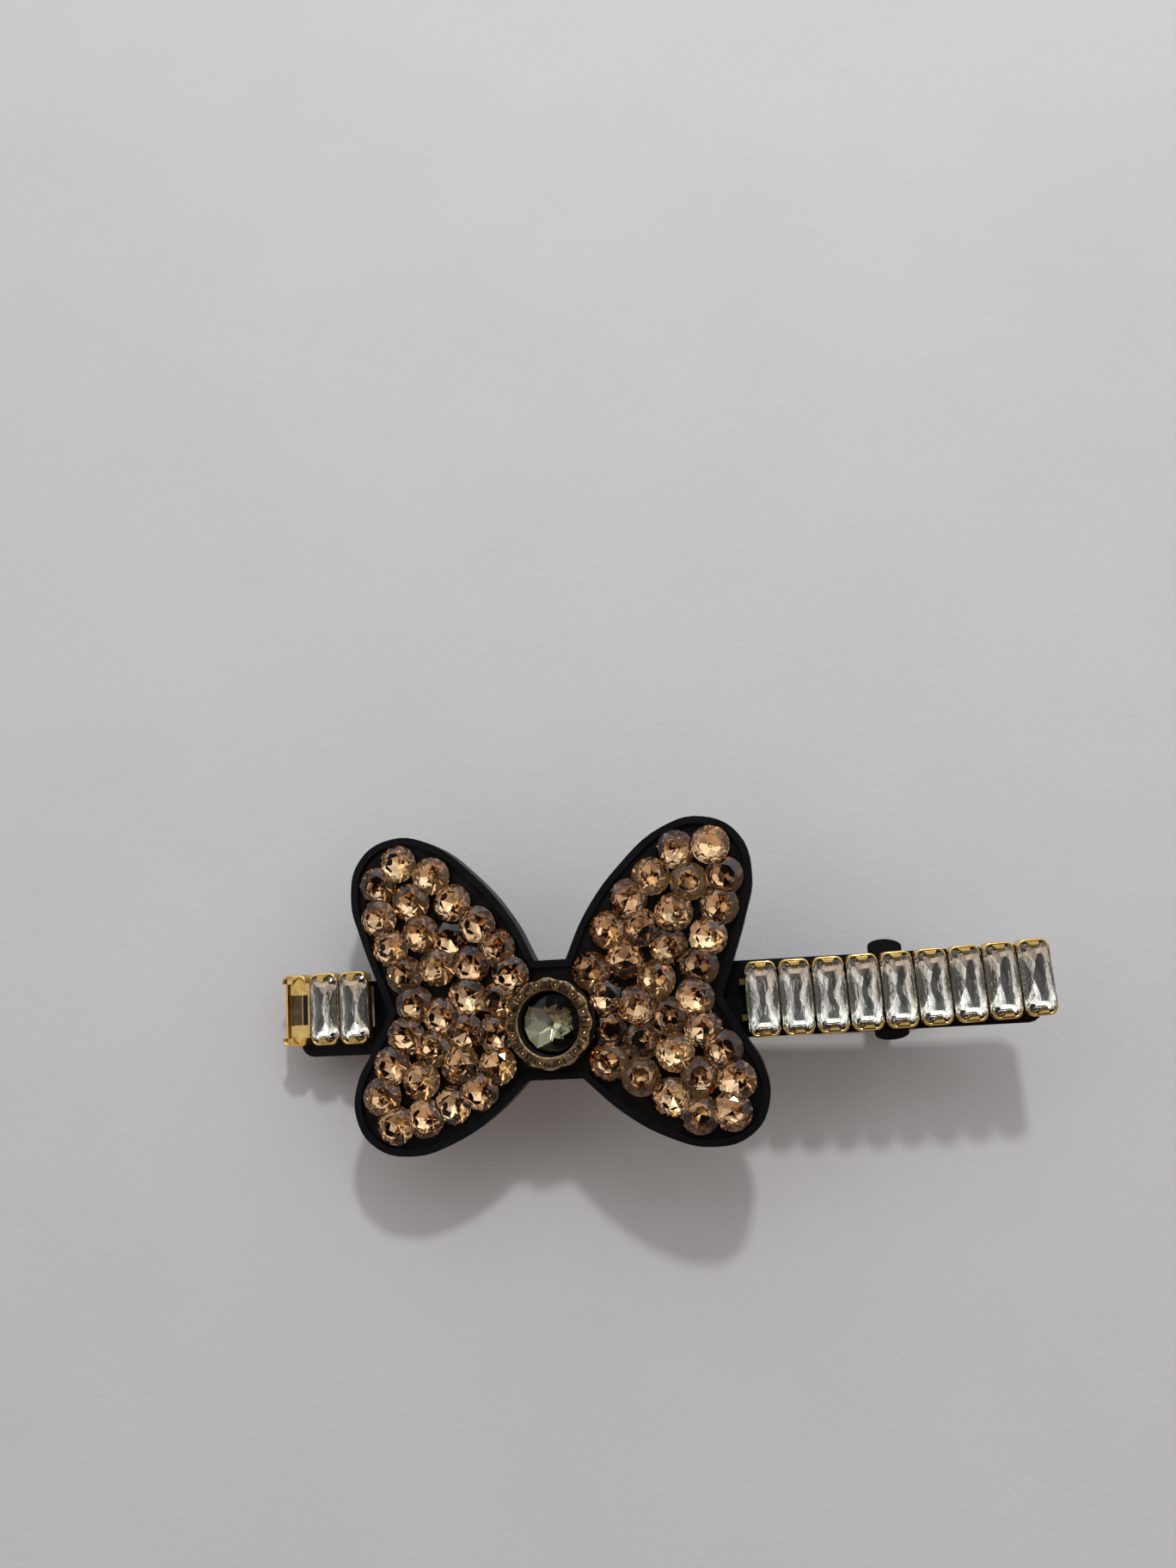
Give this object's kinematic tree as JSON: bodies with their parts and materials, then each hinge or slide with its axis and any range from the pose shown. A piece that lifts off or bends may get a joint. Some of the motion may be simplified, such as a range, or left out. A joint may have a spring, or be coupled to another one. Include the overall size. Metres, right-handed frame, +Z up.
{
  "type": "rhinestone hair clip",
  "caption": "French barrette hair clip: a bow paved with round champagne stones and a cup chain of clear baguettes on an arched bar that a hinged tongue and a two-sided spring catch close.",
  "frame": {"origin": "bottom centre of the closed clip's box, on the surface it lies on, resting on the heel and the lip of its tongue", "axes": "+X along the bar, from its hinge towards its catch and free end; +Y across the bar, towards the bow's longer lobes; +Z up, out of the stones' faces"},
  "size_m": [0.0826, 0.0338, 0.0141],
  "materials": {
    "black_lacquer": "satin black lacquer on steel",
    "spring_steel": "dark nickel spring steel",
    "gold_cup": "bright gold-plated stamped brass",
    "clear_baguette": "clear step-cut glass with a foiled back",
    "champagne_paving": "foiled champagne glass chatons in black resin",
    "smoke_stone": "foiled smoke-green glass",
    "bronze_ring": "bronze-coloured beaded cast ring",
    "halo_stone": "small foiled smoky-bronze glass",
    "clear_glue": "cured clear glue"
  },
  "bodies": {
    "tongue": {"tongue": "black_lacquer"},
    "bar": {"baguette_02": "clear_baguette", "baguette_03": "clear_baguette", "baguette_04": "clear_baguette", "baguette_05": "clear_baguette", "baguette_06": "clear_baguette", "baguette_07": "clear_baguette", "baguette_08": "clear_baguette", "baguette_09": "clear_baguette", "baguette_10": "clear_baguette", "baguette_11": "clear_baguette", "baguette_12": "clear_baguette", "bow_adhesive": "clear_glue", "bow_tray": "black_lacquer", "catch_base": "spring_steel", "catch_rivet_left": "spring_steel", "catch_rivet_right": "spring_steel", "centre_cup": "black_lacquer", "centre_stone": "smoke_stone", "chain_adhesive_left": "clear_glue", "chain_adhesive_right": "clear_glue", "chain_cup_01": "gold_cup", "chain_cup_02": "gold_cup", "chain_cup_03": "gold_cup", "chain_cup_04": "gold_cup", "chain_cup_05": "gold_cup", "chain_cup_06": "gold_cup", "chain_cup_07": "gold_cup", "chain_cup_08": "gold_cup", "chain_cup_09": "gold_cup", "chain_cup_10": "gold_cup", "chain_cup_11": "gold_cup", "chain_cup_12": "gold_cup", "halo_ring": "bronze_ring", "halo_stone_01": "halo_stone", "halo_stone_02": "halo_stone", "halo_stone_03": "halo_stone", "halo_stone_04": "halo_stone", "halo_stone_05": "halo_stone", "halo_stone_06": "halo_stone", "halo_stone_07": "halo_stone", "halo_stone_08": "halo_stone", "halo_stone_09": "halo_stone", "halo_stone_10": "halo_stone", "halo_stone_11": "halo_stone", "halo_stone_12": "halo_stone", "hinge_pin": "spring_steel", "left_wing_paving": "champagne_paving", "right_wing_paving": "champagne_paving", "tension_leaf": "spring_steel", "top_bar": "black_lacquer"},
    "catch_arm_front": {"catch_arm_front": "black_lacquer"},
    "catch_arm_back": {"catch_arm_back": "black_lacquer"}
  },
  "joints": [
    {"name": "clasp_open", "type": "hinge", "parent": "tongue", "child": "bar", "pos_m": [-0.03731, -0.00245, 0.00152], "axis": [0, -1, 0], "range_deg": [0, 50]},
    {"name": "front_arm_pinch", "type": "hinge", "parent": "bar", "child": "catch_arm_front", "pos_m": [0.02523, -0.0036, 0.00835], "axis": [0.9963, 0, 0.086], "range_deg": [0, 5], "stiffness_Nm_per_rad": 0.05},
    {"name": "back_arm_pinch", "type": "hinge", "parent": "bar", "child": "catch_arm_back", "pos_m": [0.02523, -0.0013, 0.00835], "axis": [-0.9963, 0, -0.086], "range_deg": [0, 5], "stiffness_Nm_per_rad": 0.05}
  ]
}
